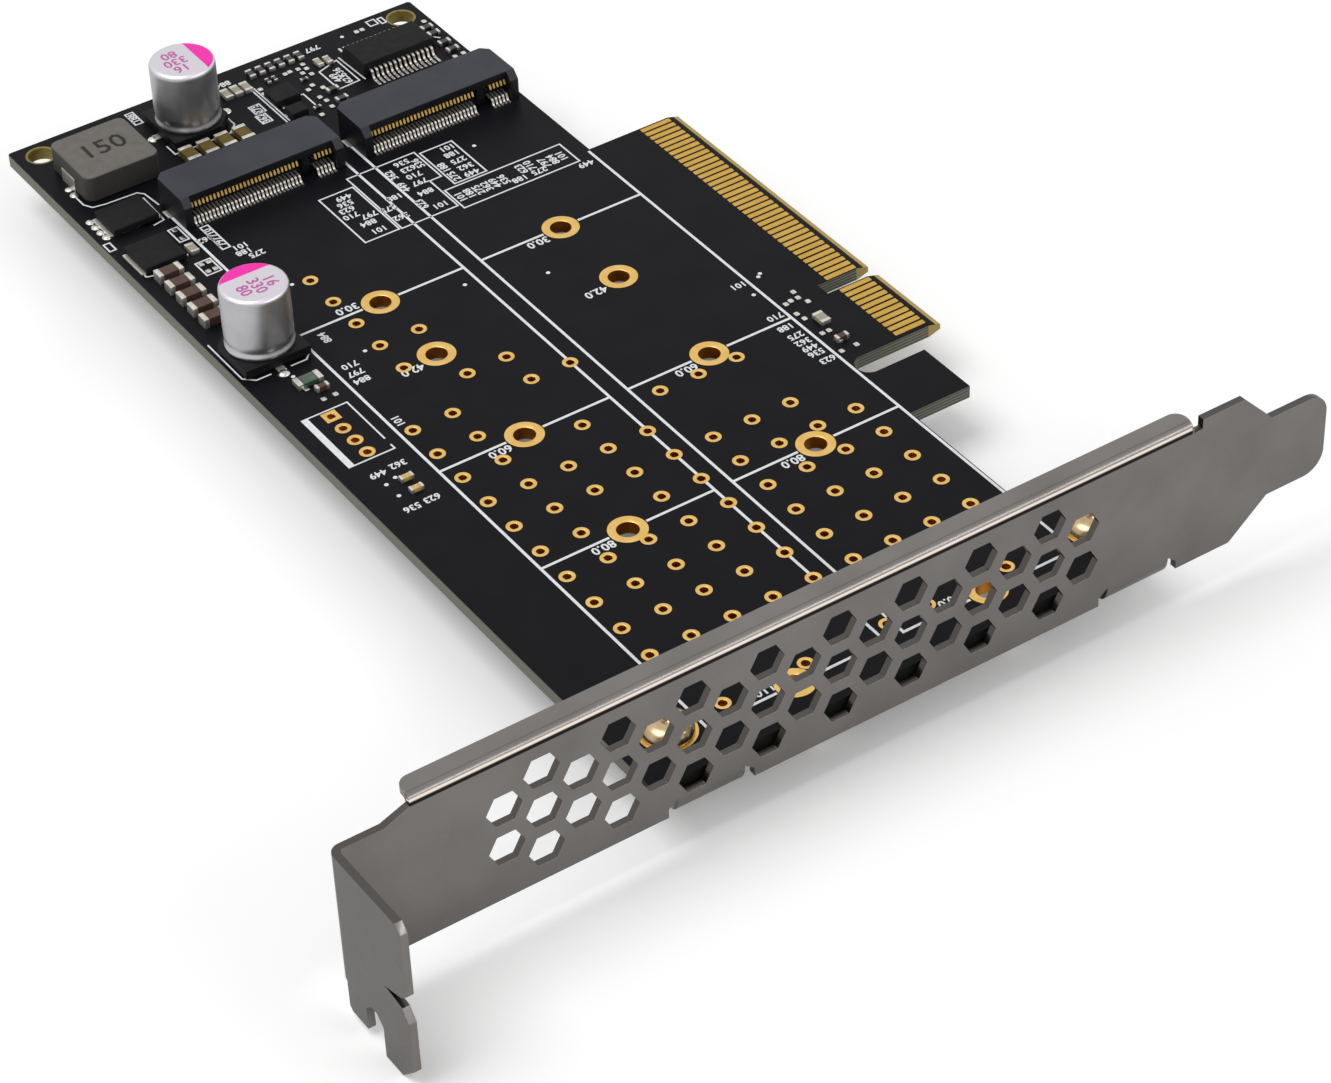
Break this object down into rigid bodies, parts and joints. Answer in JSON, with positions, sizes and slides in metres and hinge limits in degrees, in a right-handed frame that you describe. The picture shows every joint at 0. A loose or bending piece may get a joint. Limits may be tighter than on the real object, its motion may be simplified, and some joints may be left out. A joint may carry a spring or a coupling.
{
  "type": "pcie controller card",
  "caption": "Low-profile expansion card with sockets for two flat storage modules, gold edge contacts and a vented slot bracket.",
  "frame": {"origin": "middle of the two 80 mm standoff holes, on the board's component face", "axes": "+X along the bracket towards the gold edge contacts, +Y from the bracket to the rear of the board, +Z away from the board on the component side"},
  "size_m": [0.12, 0.15, 0.0232],
  "materials": {
    "solder_mask": "satin solder mask",
    "gold": "gold plating",
    "bracket_steel": "satin nickel plate",
    "screw_steel": "bright zinc plate",
    "socket_plastic": "satin moulded",
    "tinned_metal": "bright tin",
    "can_aluminium": "satin aluminium",
    "base_plastic": "moulded",
    "pressed_powder": "pressed iron powder",
    "chip_epoxy": "moulded epoxy",
    "brown_ceramic": "fired ceramic",
    "tan_ceramic": "fired ceramic",
    "grey_ceramic": "fired ceramic",
    "fuse_ceramic": "fired ceramic",
    "led_resin": "clear resin"
  },
  "bodies": {
    "root": {"pcb": "solder_mask", "edge_contacts_top": "gold", "edge_contacts_bottom": "gold", "standoff_rings": "gold", "bracket": "bracket_steel", "bracket_screws": "screw_steel", "socket_left_housing": "socket_plastic", "socket_right_housing": "socket_plastic", "socket_left_upper_contacts": "gold", "socket_right_upper_contacts": "gold", "socket_left_lower_contacts": "tinned_metal", "socket_right_lower_contacts": "tinned_metal", "socket_hold_downs": "tinned_metal", "capacitor_1_can": "can_aluminium", "capacitor_2_can": "can_aluminium", "capacitor_1_base": "base_plastic", "capacitor_2_base": "base_plastic", "capacitor_1_leads": "tinned_metal", "capacitor_2_leads": "tinned_metal", "inductor_body": "pressed_powder", "inductor_clips": "tinned_metal", "transistor_bodies": "chip_epoxy", "transistor_leads": "tinned_metal", "interface_chip_body": "chip_epoxy", "interface_chip_leads": "tinned_metal", "regulator_chip": "chip_epoxy", "choke": "pressed_powder", "brown_capacitor_bodies": "brown_ceramic", "brown_capacitor_ends": "tinned_metal", "tan_capacitor_bodies": "tan_ceramic", "tan_capacitor_ends": "tinned_metal", "small_chips": "grey_ceramic", "fuse_body": "fuse_ceramic", "fuse_ends": "tinned_metal", "led_bodies": "led_resin", "led_ends": "tinned_metal"}
  },
  "joints": []
}
